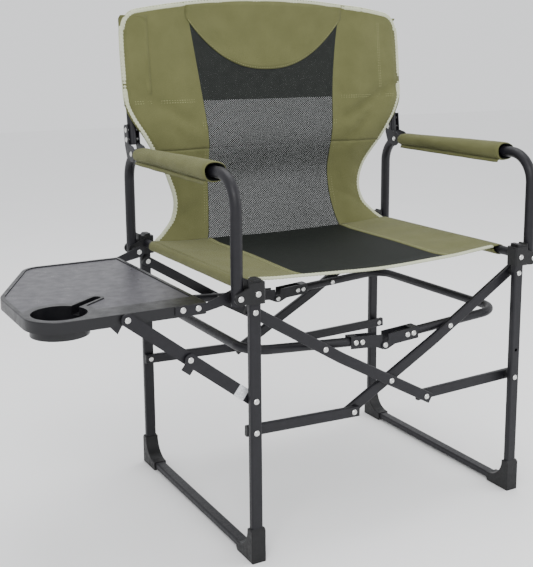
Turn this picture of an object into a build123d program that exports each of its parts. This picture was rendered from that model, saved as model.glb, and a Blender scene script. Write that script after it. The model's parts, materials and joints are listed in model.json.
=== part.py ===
from build123d import *

import os
from math import atan2, cos, degrees, hypot, radians, sin

os.makedirs("parts", exist_ok=True)

# Folding camping chair with a side table. Millimetres, +Z up, the sitter faces -Y.
# The origin is on the floor, in the middle of the four feet.

# ---------------------------------------------------------------- driving dimensions
leg_x = 270.0  # side frames, centre to mid-plane
leg_y = 225.0  # front and rear leg centres
leg_wide = 20.0  # leg tube along X
leg_deep = 12.0  # leg tube along Y
tube_wall = 1.3
floor_bar_z = 9.5
leg_bend = 42.0
leg_top_z = 441.0

bar_high = 18.5  # flat cross bars and links
bar_deep = 9.5
layer_gap = 0.5
pivot_z = 417.0  # cross bars on the legs
link_z = 220.0  # links on the legs
cross_z = 256.6  # where the cross bars meet
bar_slope = 31.7  # degrees, upper run of a cross bar
bar_knee = 200.0  # from the leg pivot to the slight bend
bar_tail = 87.3  # from the crossing to the link pivot
loop_pin = 160.0  # from the leg pivot to the loop pivot

leg_corner = 3.2
foot_wall = 3.5

bar_start = 7.0  # cross bar beyond the leg pivot
bar_end = 9.0  # cross bar beyond its tail pivot
link_start = 9.0
link_end = 9.0
link_high = 18.0
bar_corner = 2.4
plug_thick = 1.5
plug_depth = 3.5

rivet_shank = 3.0
rivet_head = 4.8
rivet_head_high = 1.6
pivot_clearance = 0.06
head_gap = 0.4  # between a rivet head or spacer and the piece that turns on it

loop_radius = 8.0
loop_y = 187.5
loop_slope = 0.07
loop_outer_x = 262.0
loop_bend = 40.0
loop_hinge_z = 315.0
loop_inner_x = 25.0
bracket_rivets = (47.0, 60.0)
bracket_long = 70.0
bracket_short = 6.0
web_short = 54.0
bracket_half = 10.5
ear_half = 7.5
plate_thick = 1.3
inner_plate_in = 8.35  # inner faces of the left channel's plates, from the loop's axis
outer_plate_in = 10.0

cap_low_z = 432.0
cap_high_z = 466.0
cap_half_x = 15.0
cap_front_y = 237.0
cap_back_y = 212.8
cap_rivet_z = 447.5
crown_high = 5.0
ear_radius = 10.0
ear_front_thick = 4.5
ear_rear_thick = 2.0
rail_depth = 11.0
rail_z = 452.0
rail_radius = 8.0

arm_x = 298.0
arm_y = 222.5
arm_radius = 9.5
arm_top_z = 630.0
arm_low_z = 430.0
arm_pin_z = 443.0
arm_bend = 52.0
pad_front_y = -155.0
pad_rear_y = 158.0
pad_wide = 42.0
pad_front_high = 34.0
pad_rear_high = 26.0

hinge_y = 176.0
hinge_z = 630.0
upright_offset = 20.0  # upright axis behind the hinge pin
upright_lean = 6.5  # degrees
upright_radius = 8.0
upright_low = 15.0  # along the upright, from the pin's height
upright_long = 246.0

table_front_y = -207.4
table_rear_y = 182.0
table_inner_x = -340.0
table_outer_x = -610.0
table_top_z = 438.0
table_skirt = 17.5
table_wall = 2.5
cup_x = -556.0
cup_y = -153.4
cup_radius = 41.5
cup_floor_z = 407.0
cup_rim = 12.5

strut_wide = 20.0
strut_thick = 2.0
strut_foot_z = 272.5
strut_head_x = -472.0
strut_head_z = 429.0
strut_split = 0.52  # share of the strut's length in its lower link
strut_high_y = 213.5  # front face of the upper link
strut_low_y = 217.9  # front face of the lower link

bracket_thick = 2.0
bracket_z = 431.0
bracket_bolts = (-356.6, -382.0)
panel_edge = 7.0
panel_front_y = -161.0
notch_x = -478.0
notch_y = -92.0
notch_wide = 14.0
notch_floor_z = 424.0
tape_thick = 0.3
tape_along = 25.0

back_plate_in = 9.9  # inner faces of the back bracket's plates, from the upright's axis
back_plate_out = 11.9
back_web = 10.4
back_boss = 15.0
back_rivets = (25.0, 43.0)

sling_thick = 2.4
seat_sag = 9.0
low_back_lean = 1.2
sleeve_low = 92.0  # along the upright, from the hinge's height
back_corner = 252.0
back_middle = 290.0
seat_front_y = -180.0
seat_rear_y = 181.0

# ---------------------------------------------------------------- worked-out points
slope = radians(bar_slope)
knee_x = -leg_x + bar_knee * cos(slope)
knee_z = pivot_z - bar_knee * sin(slope)
tail_angle = atan2(knee_z - cross_z, -knee_x)
tail_x = bar_tail * cos(tail_angle)
tail_z = cross_z - bar_tail * sin(tail_angle)
loop_pin_x = -leg_x + loop_pin * cos(slope)
loop_pin_z = pivot_z - loop_pin * sin(slope)
layer_1 = leg_y - leg_deep / 2 - layer_gap  # face of the first layer next to the leg
layer_2 = layer_1 - bar_deep - layer_gap
layer_2_end = layer_2 - bar_deep
leg_face = leg_y - leg_deep / 2
loop_face = loop_y + loop_radius


# ---------------------------------------------------------------- helpers
def finish(piece, name):
    """Labels a finished piece and writes its STEP file."""
    piece.label = name
    export_step(piece, f"parts/{name}.step")


def drill(x, z, y_start, y_end, radius):
    """Cuts a round hole along Y in the part being built."""
    low = min(y_start, y_end)
    with Locations(Location((x, low, z), (-90, 0, 0))):
        Cylinder(
            radius,
            abs(y_end - y_start),
            align=(Align.CENTER, Align.CENTER, Align.MIN),
            mode=Mode.SUBTRACT,
        )


def stud(x, z, y_start, y_end, radius):
    """Adds a round shank along Y to the part being built."""
    low = min(y_start, y_end)
    with Locations(Location((x, low, z), (-90, 0, 0))):
        Cylinder(radius, abs(y_end - y_start), align=(Align.CENTER, Align.CENTER, Align.MIN))


def head_solid():
    """A tubular rivet's rolled head, standing on the XY plane, with a dimple in its middle."""
    with BuildPart() as head:
        with BuildSketch(Plane.XZ):
            with BuildLine():
                Polyline((0, 0), (rivet_head, 0), (rivet_head, 0.5))
                Line((rivet_head, 0.5), (rivet_head - 1.1, rivet_head_high))
                Line((rivet_head - 1.1, rivet_head_high), (2.4, rivet_head_high))
                Line((2.4, rivet_head_high), (1.6, 0.6))
                Polyline((1.6, 0.6), (0, 0.6), (0, 0))
            make_face()
        revolve(axis=Axis.Z)
    return head.part


HEAD = head_solid()


def rivet(x, z, y_head, y_end, heads="start"):
    """A rivet along Y: its head stands off y_head, its shank ends at y_end."""
    outward = 90 if y_end > y_head else -90
    stud(x, z, y_head, y_end, rivet_shank)
    with Locations(Location((x, y_head, z), (outward, 0, 0))):
        add(HEAD)
    if heads == "both":
        with Locations(Location((x, y_end, z), (-outward, 0, 0))):
            add(HEAD)


def flat_tube(points, bend, across, wide, deep, corner, wall):
    """A rounded rectangular tube swept along straight runs joined by arcs."""
    with BuildPart() as tube:
        with BuildLine() as route:
            if len(points) > 2:
                FilletPolyline(*points, radius=bend)
            else:
                Line(*points)
        start = Plane(origin=route.line @ 0, x_dir=across, z_dir=route.line % 0)
        with BuildSketch(start):
            RectangleRounded(wide, deep, corner)
            RectangleRounded(wide - 2 * wall, deep - 2 * wall, corner - wall, mode=Mode.SUBTRACT)
        sweep()
    return tube.part


def round_tube(points, bend, radius, wall):
    """A round tube swept along straight runs joined by arcs."""
    with BuildPart() as tube:
        with BuildLine() as route:
            if len(points) > 2:
                FilletPolyline(*points, radius=bend)
            else:
                Line(*points)
        with BuildSketch(Plane(origin=route.line @ 0, z_dir=route.line % 0)):
            Circle(radius)
            Circle(radius - wall, mode=Mode.SUBTRACT)
        sweep()
    return tube.part


# ---------------------------------------------------------------- side frames
def leg_tube():
    """One bent tube makes a front leg, the floor bar and a rear leg, drilled for its pivots."""
    points = [
        (-leg_x, -leg_y, leg_top_z),
        (-leg_x, -leg_y, floor_bar_z),
        (-leg_x, leg_y, floor_bar_z),
        (-leg_x, leg_y, leg_top_z),
    ]
    bent = flat_tube(points, leg_bend, (1, 0, 0), leg_wide, leg_deep, leg_corner, tube_wall)
    with BuildPart() as tube:
        add(bent)
        for z in (pivot_z, link_z):
            drill(-leg_x, z, -leg_y - leg_deep, leg_y + leg_deep, rivet_shank)
        drill(-leg_x, strut_foot_z, -leg_y - leg_deep, -leg_y + leg_deep, rivet_shank)
    return tube.part


with BuildPart() as leg_tube_left:
    add(leg_tube())
finish(leg_tube_left.part, "leg_tube_left")

with BuildPart() as leg_tube_right:
    mirror(leg_tube_left.part, about=Plane.YZ)
finish(leg_tube_right.part, "leg_tube_right")


def foot_saddle():
    """A moulded shoe that squares off the outside of a floor bend and holds the tube in a groove."""
    outer_y = leg_y + leg_deep / 2 + foot_wall
    with BuildPart() as groove:
        with BuildLine() as route:
            FilletPolyline(
                (-leg_x, -leg_y, 120),
                (-leg_x, -leg_y, floor_bar_z),
                (-leg_x, 0, floor_bar_z),
                radius=leg_bend,
            )
        with BuildSketch(Plane(origin=route.line @ 0, x_dir=(1, 0, 0), z_dir=route.line % 0)):
            RectangleRounded(leg_wide, leg_deep, leg_corner)
        sweep()
    with BuildPart() as shoe:
        with BuildSketch(Plane.YZ.offset(-leg_x)):
            with BuildLine():
                Polyline((-outer_y, 0), (-outer_y + 54, 0), (-outer_y + 58, 6), (-outer_y + 56, 17))
                ThreePointArc((-outer_y + 56, 17), (-outer_y + 28, 28), (-outer_y + 17, 56))
                Polyline((-outer_y + 17, 56), (-outer_y + 4, 58), (-outer_y, 54), (-outer_y, 0))
            make_face()
        extrude(amount=leg_wide / 2 + foot_wall - 0.7, both=True)
        chamfer(shoe.faces().filter_by(Axis.X).edges(), 1.0)
        add(groove.part, mode=Mode.SUBTRACT)
    return shoe.part


with BuildPart() as feet_left:
    add(foot_saddle())
    mirror(feet_left.part, about=Plane.XZ)
finish(feet_left.part, "feet_left")
with BuildPart() as feet_right:
    mirror(feet_left.part, about=Plane.YZ)
finish(feet_right.part, "feet_right")


def corner_cap():
    """A moulded cap on a leg's top, with a socket for the seat rail and two ears for the arm tube."""
    ear_root_x = -leg_x - 4
    ear_top = (ear_root_x, cap_high_z - 3)
    ear_low = (ear_root_x, arm_pin_z - ear_radius)
    pin = Vector(-arm_x, arm_pin_z)
    with BuildPart() as cap:
        with BuildSketch(Plane.XY.offset(cap_low_z)):
            with Locations((-leg_x, -(cap_front_y + cap_back_y) / 2)):
                RectangleRounded(2 * cap_half_x, cap_front_y - cap_back_y, 4)
        extrude(amount=cap_high_z - cap_low_z)
        with BuildSketch(Plane.XY.offset(cap_high_z)):
            with Locations((-leg_x - 3, -(cap_front_y + cap_back_y) / 2)):
                RectangleRounded(2 * cap_half_x - 6, cap_front_y - cap_back_y - 3, 3)
        extrude(amount=crown_high)
        with Locations(Location((-leg_x - 7, -leg_y, cap_high_z + crown_high + 2), (90, 0, 0))):
            Cylinder(6.0, 60, mode=Mode.SUBTRACT)
        fillet(cap.faces().sort_by(Axis.Z)[-1].edges(), 0.8)
        for low_y, thick in ((-cap_front_y, ear_front_thick), (-cap_back_y, ear_rear_thick)):
            with BuildSketch(Plane.XZ.offset(-low_y)):
                with BuildLine():
                    Line(ear_top, (pin.X - 5.4, pin.Y + ear_radius - 1.5))
                    RadiusArc(
                        (pin.X - 5.4, pin.Y + ear_radius - 1.5), (pin.X, pin.Y - ear_radius), -ear_radius
                    )
                    Line((pin.X, pin.Y - ear_radius), ear_low)
                    Line(ear_low, ear_top)
                make_face()
            extrude(amount=-thick)
        with BuildSketch(Plane.XY.offset(cap_low_z)):
            with Locations((-leg_x, -leg_y)):
                RectangleRounded(leg_wide, leg_deep, leg_corner)
        extrude(amount=leg_top_z - cap_low_z, mode=Mode.SUBTRACT)
        drill(-leg_x, rail_z, -cap_back_y - rail_depth, -cap_back_y + 5, rail_radius)
        drill(-arm_x, arm_pin_z, -cap_front_y - 1, -cap_back_y + 5, rivet_shank)
        drill(-leg_x + 2, cap_rivet_z, -cap_front_y - 1, -cap_front_y + 6, rivet_shank)
    return cap.part


with BuildPart() as caps_left:
    add(corner_cap())
    mirror(caps_left.part, about=Plane.XZ)
finish(caps_left.part, "caps_left")
with BuildPart() as caps_right:
    mirror(caps_left.part, about=Plane.YZ)
finish(caps_right.part, "caps_right")

rail_end = cap_back_y + rail_depth
rail = round_tube([(-leg_x, -rail_end, rail_z), (-leg_x, rail_end, rail_z)], 0, rail_radius, tube_wall)
with BuildPart() as seat_rail_left:
    add(rail)
finish(seat_rail_left.part, "seat_rail_left")
with BuildPart() as seat_rail_right:
    mirror(seat_rail_left.part, about=Plane.YZ)
finish(seat_rail_right.part, "seat_rail_right")


# ---------------------------------------------------------------- arms
def arm_tube():
    """An arch of round tube from the front cap's ears over to the rear cap's ears."""
    points = [
        (-arm_x, -arm_y, arm_low_z),
        (-arm_x, -arm_y, arm_top_z),
        (-arm_x, arm_y, arm_top_z),
        (-arm_x, arm_y, arm_low_z),
    ]
    bent = round_tube(points, arm_bend, arm_radius, tube_wall)
    with BuildPart() as tube:
        add(bent)
        drill(-arm_x, arm_pin_z, -arm_y - 20, arm_y + 20, rivet_shank)
        with Locations(Location((-arm_x, hinge_y, hinge_z), (0, 90, 0))):
            Cylinder(rivet_shank, 4 * arm_radius, mode=Mode.SUBTRACT)
    return tube.part


with BuildPart() as arm_tube_left:
    add(arm_tube())
finish(arm_tube_left.part, "arm_tube_left")
with BuildPart() as arm_tube_right:
    mirror(arm_tube_left.part, about=Plane.YZ)
finish(arm_tube_right.part, "arm_tube_right")

with BuildPart() as arm_pad_left:
    with BuildSketch(Plane.XZ.offset(-pad_front_y)) as front_end:
        with Locations((-arm_x, arm_top_z)):
            RectangleRounded(pad_wide, pad_front_high, pad_front_high / 2 - 1)
    with BuildSketch(Plane.XZ.offset(-pad_rear_y)) as rear_end:
        with Locations((-arm_x, arm_top_z)):
            RectangleRounded(pad_wide - 4, pad_rear_high, pad_rear_high / 2 - 1)
    loft()
    fillet(arm_pad_left.faces().filter_by(Axis.Y).edges(), 4)
    drill(-arm_x, arm_top_z, pad_front_y - 5, pad_rear_y + 5, arm_radius)
finish(arm_pad_left.part, "arm_pad_left")
with BuildPart() as arm_pad_right:
    mirror(arm_pad_left.part, about=Plane.YZ)
finish(arm_pad_right.part, "arm_pad_right")


# ---------------------------------------------------------------- cross bars, links and loops
def cross_bar(face_y):
    """A flat tube from the left leg's pivot, bent a little, through the crossing to its tail."""
    y = face_y - bar_deep / 2
    end_x = tail_x + bar_end * cos(tail_angle)
    end_z = tail_z - bar_end * sin(tail_angle)
    points = [
        (-leg_x - bar_start * cos(slope), -y, pivot_z + bar_start * sin(slope)),
        (knee_x, -y, knee_z),
        (end_x, -y, end_z),
    ]
    bent = flat_tube(points, 300, (0, 1, 0), bar_deep, bar_high, bar_corner, tube_wall)
    with BuildPart() as bar:
        add(bent)
        for x, z in ((-leg_x, pivot_z), (0, cross_z), (tail_x, tail_z), (loop_pin_x, loop_pin_z)):
            drill(x, z, -y - bar_deep, -y + bar_deep, rivet_shank + pivot_clearance)
    return bar.part


def link(face_y):
    """A straight flat tube from the left leg to the far cross bar's tail."""
    y = face_y - bar_deep / 2
    run = hypot(leg_x - tail_x, link_z - tail_z)
    along = ((leg_x - tail_x) / run, (tail_z - link_z) / run)
    points = [
        (-leg_x - link_start * along[0], -y, link_z - link_start * along[1]),
        (-tail_x + link_end * along[0], -y, tail_z + link_end * along[1]),
    ]
    straight = flat_tube(points, 0, (0, 1, 0), bar_deep, link_high, bar_corner, tube_wall)
    with BuildPart() as bar:
        add(straight)
        for x, z in ((-leg_x, link_z), (-tail_x, tail_z)):
            drill(x, z, -y - bar_deep, -y + bar_deep, rivet_shank + pivot_clearance)
    return bar.part


def plugs(face_y, places):
    """Moulded plugs that close the ends of flat tubes: each place is an end and its outward slope."""
    with BuildPart() as group:
        for x, z, angle, high in places:
            out = Plane(
                origin=(x, -(face_y - bar_deep / 2), z),
                x_dir=(0, 1, 0),
                z_dir=(cos(angle), 0, sin(angle)),
            )
            with BuildSketch(out):
                RectangleRounded(bar_deep, high, bar_corner)
            extrude(amount=plug_thick)
            with BuildSketch(out):
                RectangleRounded(bar_deep - 2 * tube_wall, high - 2 * tube_wall, bar_corner - tube_wall)
            extrude(amount=-plug_depth)
    return group.part


with BuildPart() as bar_a_front:
    add(cross_bar(layer_1))
finish(bar_a_front.part, "bar_a_front")
with BuildPart() as bar_a_rear:
    mirror(bar_a_front.part, about=Plane.XZ)
finish(bar_a_rear.part, "bar_a_rear")
second_bar = cross_bar(layer_2)
with BuildPart() as bar_b_front:
    mirror(second_bar, about=Plane.YZ)
finish(bar_b_front.part, "bar_b_front")
with BuildPart() as bar_b_rear:
    mirror(bar_b_front.part, about=Plane.XZ)
finish(bar_b_rear.part, "bar_b_rear")

with BuildPart() as link_left_front:
    add(link(layer_1))
finish(link_left_front.part, "link_left_front")
with BuildPart() as link_left_rear:
    mirror(link_left_front.part, about=Plane.XZ)
finish(link_left_rear.part, "link_left_rear")
second_link = link(layer_2)
with BuildPart() as link_right_front:
    mirror(second_link, about=Plane.YZ)
finish(link_right_front.part, "link_right_front")
with BuildPart() as link_right_rear:
    mirror(link_right_front.part, about=Plane.XZ)
finish(link_right_rear.part, "link_right_rear")

link_angle = atan2(tail_z - link_z, leg_x - tail_x)
bar_places = [
    (
        tail_x + bar_end * cos(tail_angle),
        tail_z - bar_end * sin(tail_angle),
        -tail_angle,
        bar_high,
    ),
    (
        -leg_x - bar_start * cos(slope),
        pivot_z + bar_start * sin(slope),
        radians(180) - slope,
        bar_high,
    ),
]
link_places = [
    (
        -tail_x + link_end * cos(link_angle),
        tail_z + link_end * sin(link_angle),
        link_angle,
        link_high,
    ),
    (
        -leg_x - link_start * cos(link_angle),
        link_z - link_start * sin(link_angle),
        radians(180) + link_angle,
        link_high,
    ),
]
for name, face, places, swap in (
    ("bar_a_plugs", layer_1, bar_places, False),
    ("bar_b_plugs", layer_2, bar_places, True),
    ("link_left_plugs", layer_1, link_places, False),
    ("link_right_plugs", layer_2, link_places, True),
):
    front_plugs = plugs(face, places)
    with BuildPart() as plug_group:
        if swap:
            mirror(front_plugs, about=Plane.YZ)
        else:
            add(front_plugs)
        mirror(plug_group.part, about=Plane.XZ)
    finish(plug_group.part, name)


def loop_height(x):
    """Height of the left loop's axis at a distance x from the mid-plane."""
    return loop_pin_z + (x + loop_pin_x) * loop_slope


def loop_tube():
    """Half of the brace ring: a round tube loop that hangs from the left bars, ends cut aslant."""
    outer = (-loop_outer_x, loop_height(loop_outer_x))
    inner = (-loop_inner_x + 6, loop_height(loop_inner_x - 6))
    points = [
        (inner[0], -loop_y, inner[1]),
        (outer[0], -loop_y, outer[1]),
        (outer[0], loop_y, outer[1]),
        (inner[0], loop_y, inner[1]),
    ]
    bent = round_tube(points, loop_bend, loop_radius, tube_wall)
    with BuildPart() as tube:
        add(bent)
        # both ends lean away from the middle at the bottom, where the loops meet when they fold
        with BuildSketch(Plane.XZ):
            with BuildLine():
                Polyline(
                    (-loop_inner_x + 5, loop_height(0) + 20),
                    (-loop_inner_x + 5, loop_height(0) + loop_radius),
                    (-loop_inner_x - 5, loop_height(0) - loop_radius - 2),
                    (-loop_inner_x - 5, loop_height(0) - 30),
                    (0, loop_height(0) - 30),
                    (0, loop_height(0) + 20),
                    close=True,
                )
            make_face()
        extrude(amount=2 * loop_y, both=True, mode=Mode.SUBTRACT)
        drill(loop_pin_x, loop_pin_z, -2 * loop_y, 2 * loop_y, rivet_shank + pivot_clearance)
        for x in bracket_rivets:
            drill(-x, loop_height(x), -2 * loop_y, 2 * loop_y, rivet_shank)
    return tube.part


def loop_bracket(plate_in, plate_thick):
    """A channel over the left loop's end: two plates, a short web on top, and an ear for the hinge."""
    low_end = loop_height(bracket_long) - bracket_half
    top_end = loop_height(bracket_long) + bracket_half
    with BuildPart() as bracket:
        for side in (-1, 1):
            near = side * plate_in
            face = near if side > 0 else near - plate_thick
            with BuildSketch(Plane.XZ.offset(loop_y - face)):
                with BuildLine():
                    Polyline(
                        (-bracket_long, low_end),
                        (-bracket_long, top_end),
                        (-bracket_short, loop_height(bracket_short) + bracket_half),
                        (-bracket_short, loop_height(bracket_short)),
                        (0, loop_hinge_z),
                        (-4, loop_hinge_z - ear_half),
                        (-20, loop_height(20) - bracket_half),
                        close=True,
                    )
                make_face()
                with Locations((0, loop_hinge_z)):
                    Circle(ear_half)
            extrude(amount=-plate_thick)
        web_low = loop_height(bracket_long) + bracket_half - plate_thick
        with BuildSketch(Plane.XZ.offset(loop_y + plate_in)):
            with BuildLine():
                Polyline(
                    (-bracket_long, top_end),
                    (-bracket_long, web_low),
                    (-web_short, loop_height(web_short) + bracket_half - plate_thick),
                    (-web_short, loop_height(web_short) + bracket_half),
                    close=True,
                )
            make_face()
        extrude(amount=-2 * plate_in)
        for x in bracket_rivets:
            drill(-x, loop_height(x), -2 * loop_y, 0, rivet_shank)
        drill(0, loop_hinge_z, -2 * loop_y, 0, rivet_shank)
        mirror(bracket.part, about=Plane.XZ)
    return bracket.part


with BuildPart() as loop_tube_left:
    add(loop_tube())
finish(loop_tube_left.part, "loop_tube_left")
with BuildPart() as loop_tube_right:
    mirror(loop_tube_left.part, about=Plane.YZ)
finish(loop_tube_right.part, "loop_tube_right")
with BuildPart() as loop_brackets_left:
    add(loop_bracket(inner_plate_in, plate_thick))
finish(loop_brackets_left.part, "loop_brackets_left")
outer_bracket = loop_bracket(outer_plate_in, plate_thick)
with BuildPart() as loop_brackets_right:
    mirror(outer_bracket, about=Plane.YZ)
finish(loop_brackets_right.part, "loop_brackets_right")

# ---------------------------------------------------------------- rivets and spacers
def rivet_across(x, y, z, half_long):
    """A rivet along X with a head at both ends, centred on a point."""
    with Locations(Location((x, y, z), (0, 90, 0))):
        Cylinder(rivet_shank, 2 * half_long)
    with Locations(Location((x + half_long, y, z), (0, 90, 0))):
        add(HEAD)
    with Locations(Location((x - half_long, y, z), (0, -90, 0))):
        add(HEAD)


ear_face = cap_back_y - ear_rear_thick
with BuildPart() as rivets_left:
    for side in (-1, 1):
        for z in (pivot_z, link_z):
            rivet(-leg_x, z, side * (leg_y + leg_deep / 2), side * (layer_1 - bar_deep - head_gap), "both")
        rivet(-leg_x + 2, cap_rivet_z, side * cap_front_y, side * (cap_front_y - 6))
    rivet(-leg_x, strut_foot_z, -leg_y - leg_deep / 2, -strut_low_y + strut_thick + head_gap, "both")
    rivet(-arm_x, arm_pin_z, -cap_front_y, table_front_y + head_gap, "both")
    rivet(-arm_x, arm_pin_z, cap_front_y, table_rear_y - head_gap, "both")
    rivet_across(-arm_x, hinge_y, hinge_z, back_plate_out + head_gap)
finish(rivets_left.part, "rivets_left")
with BuildPart() as rivets_right:
    for side in (-1, 1):
        for z in (pivot_z, link_z):
            rivet(leg_x, z, side * (leg_y + leg_deep / 2), side * (layer_2_end - head_gap), "both")
        rivet(leg_x - 2, cap_rivet_z, side * cap_front_y, side * (cap_front_y - 6))
        rivet(arm_x, arm_pin_z, side * cap_front_y, side * ear_face, "both")
    rivet_across(arm_x, hinge_y, hinge_z, back_plate_out + head_gap)
finish(rivets_right.part, "rivets_right")


def spacers(places, radius):
    """Plain sleeves round rivets along Y: each place is x, z, and the sleeve's two ends."""
    with BuildPart() as group:
        for x, z, start, end in places:
            stud(x, z, start, end, radius)
            drill(x, z, start, end, rivet_shank)
    return group.part


with BuildPart() as spacers_right:
    for side in (-1, 1):
        for z in (pivot_z, link_z):
            add(spacers([(leg_x, z, side * leg_face, side * (layer_2 + head_gap))], 6.5))
finish(spacers_right.part, "spacers_right")
with BuildPart() as spacers_left:
    add(spacers([(-leg_x, strut_foot_z, -leg_face, -strut_low_y - head_gap)], 6.5))
    add(spacers([(-arm_x, arm_pin_z, table_rear_y + bracket_thick + head_gap, ear_face)], 6.0))
finish(spacers_left.part, "spacers_left")

with BuildPart() as bar_rivets_a:
    for side in (-1, 1):
        rivet(0, cross_z, side * layer_1, side * (layer_2_end - head_gap), "both")
        rivet(tail_x, tail_z, side * layer_1, side * (layer_1 - bar_deep + 0.2))
        rivet(loop_pin_x, loop_pin_z, side * layer_1, side * (loop_y - loop_radius - head_gap), "both")
finish(bar_rivets_a.part, "bar_rivets_a")
with BuildPart() as bar_rivets_b:
    for side in (-1, 1):
        rivet(-tail_x, tail_z, side * layer_2_end, side * (layer_2 - 0.2))
        rivet(-loop_pin_x, loop_pin_z, side * layer_2, side * (loop_y - loop_radius - head_gap), "both")
finish(bar_rivets_b.part, "bar_rivets_b")
with BuildPart() as link_rivets_left:
    for side in (-1, 1):
        rivet(-tail_x, tail_z, side * layer_1, side * (layer_1 - bar_deep + 0.2))
finish(link_rivets_left.part, "link_rivets_left")
with BuildPart() as link_rivets_right:
    for side in (-1, 1):
        rivet(tail_x, tail_z, side * layer_2_end, side * (layer_2 - 0.2))
finish(link_rivets_right.part, "link_rivets_right")
with BuildPart() as loop_spacers_left:
    for side in (-1, 1):
        start = side * (layer_1 - bar_deep)
        add(spacers([(loop_pin_x, loop_pin_z, start, side * (loop_face + head_gap))], 6.0))
finish(loop_spacers_left.part, "loop_spacers_left")
with BuildPart() as loop_spacers_right:
    for side in (-1, 1):
        start = side * layer_2_end
        add(spacers([(-loop_pin_x, loop_pin_z, start, side * (loop_face + head_gap))], 6.0))
finish(loop_spacers_right.part, "loop_spacers_right")

with BuildPart() as loop_rivets_left:
    for side in (-1, 1):
        for x in bracket_rivets:
            outer_face = side * (loop_y + inner_plate_in + plate_thick)
            inner_face = side * (loop_y - inner_plate_in - plate_thick)
            rivet(-x, loop_height(x), outer_face, inner_face, "both")
finish(loop_rivets_left.part, "loop_rivets_left")
with BuildPart() as loop_rivets_right:
    for side in (-1, 1):
        outer_face = side * (loop_y + outer_plate_in + plate_thick)
        inner_face = side * (loop_y - outer_plate_in - plate_thick)
        for x in bracket_rivets:
            rivet(x, loop_height(x), outer_face, inner_face, "both")
        rivet(0, loop_hinge_z, outer_face, outer_face - side * plate_thick)
        rivet(0, loop_hinge_z, inner_face, inner_face + side * plate_thick)
finish(loop_rivets_right.part, "loop_rivets_right")

# ---------------------------------------------------------------- folding back
lean = radians(upright_lean)
upright_way = Vector(0, sin(lean), cos(lean))
behind = Vector(0, cos(lean), -sin(lean))
upright_foot = Vector(-arm_x, hinge_y + upright_offset, hinge_z)


def hole_across(point, half_long, radius):
    """A round hole along X centred on a point."""
    with Locations(Location((point.X, point.Y, point.Z), (0, 90, 0))):
        Cylinder(radius, 2 * half_long, mode=Mode.SUBTRACT)


upright_start = upright_foot + upright_way * upright_low
upright_end = upright_foot + upright_way * upright_long
with BuildPart() as upright_left:
    add(round_tube([tuple(upright_start), tuple(upright_end)], 0, upright_radius, tube_wall))
    for along in back_rivets:
        hole_across(upright_foot + upright_way * along, 20, rivet_shank)
finish(upright_left.part, "upright_left")
with BuildPart() as upright_right:
    mirror(upright_left.part, about=Plane.YZ)
finish(upright_right.part, "upright_right")


def along_upright(u, v):
    """A point in the plate's plane: u up the upright, v behind its axis."""
    point = upright_foot + upright_way * u + behind * v
    return (point.Y, point.Z)


hinge_pin = Vector(-arm_x, hinge_y, hinge_z)
with BuildPart() as back_bracket_left:
    for inner in (-arm_x - back_plate_out, -arm_x + back_plate_in):
        with BuildSketch(Plane.YZ.offset(inner)):
            with BuildLine():
                Polyline(
                    (hinge_y - 6, hinge_z - 13.5),
                    along_upright(-8, 4),
                    along_upright(14, back_web),
                    along_upright(50, back_web),
                    along_upright(53, back_web - 4),
                    along_upright(53, -8),
                    along_upright(17, -8),
                    (hinge_y - 3, hinge_z + 14.5),
                    close=True,
                )
            make_face()
            with Locations((hinge_y, hinge_z)):
                Circle(back_boss)
        extrude(amount=back_plate_out - back_plate_in)
    with BuildSketch(Plane.YZ.offset(-arm_x)):
        with BuildLine():
            Polyline(
                along_upright(17, back_web - 2),
                along_upright(17, back_web),
                along_upright(50, back_web),
                along_upright(50, back_web - 2),
                close=True,
            )
        make_face()
    extrude(amount=back_plate_in, both=True)
    for along in back_rivets:
        hole_across(upright_foot + upright_way * along, 20, rivet_shank)
    hole_across(hinge_pin, 20, rivet_shank + pivot_clearance)
finish(back_bracket_left.part, "back_bracket_left")
with BuildPart() as back_bracket_right:
    mirror(back_bracket_left.part, about=Plane.YZ)
finish(back_bracket_right.part, "back_bracket_right")

with BuildPart() as back_rivets_left:
    for along in back_rivets:
        rivet_across(-arm_x, *along_upright(along, 0), back_plate_out)
finish(back_rivets_left.part, "back_rivets_left")
with BuildPart() as back_rivets_right:
    mirror(back_rivets_left.part, about=Plane.YZ)
finish(back_rivets_right.part, "back_rivets_right")


# ---------------------------------------------------------------- side table
def table_face(inset):
    """The table's outline in plan, drawn in by an inset."""
    with BuildSketch() as face:
        with BuildLine():
            Polyline(
                (table_inner_x, table_front_y),
                (table_outer_x, table_front_y),
                (table_outer_x, -15),
                (-517.5, table_rear_y),
                (table_inner_x, table_rear_y),
                close=True,
            )
        make_face()
        by_x = face.vertices().sort_by(Axis.X)
        fillet(by_x[:2].sort_by(Axis.Y)[0], cup_radius + cup_rim)
        fillet(face.vertices().sort_by_distance((table_outer_x, -15))[0], 70)
        fillet(face.vertices().sort_by_distance((-517.5, table_rear_y))[0], 40)
        for y in (table_front_y, table_rear_y):
            fillet(face.vertices().sort_by_distance((table_inner_x, y))[0], 8)
        if inset > 0:
            offset(amount=-inset, mode=Mode.REPLACE)
    return face.sketch


notch_run = hypot(notch_x - cup_x, notch_y - cup_y)
notch_turn = degrees(atan2(notch_y - cup_y, notch_x - cup_x))


def notch_face(wide):
    """The slot for a mug's handle, from the cup's middle outwards."""
    with BuildSketch() as face:
        with Locations(Location((cup_x, cup_y), notch_turn)):
            with Locations((notch_run / 2, 0)):
                SlotCenterToCenter(notch_run, wide)
    return face.sketch


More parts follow.
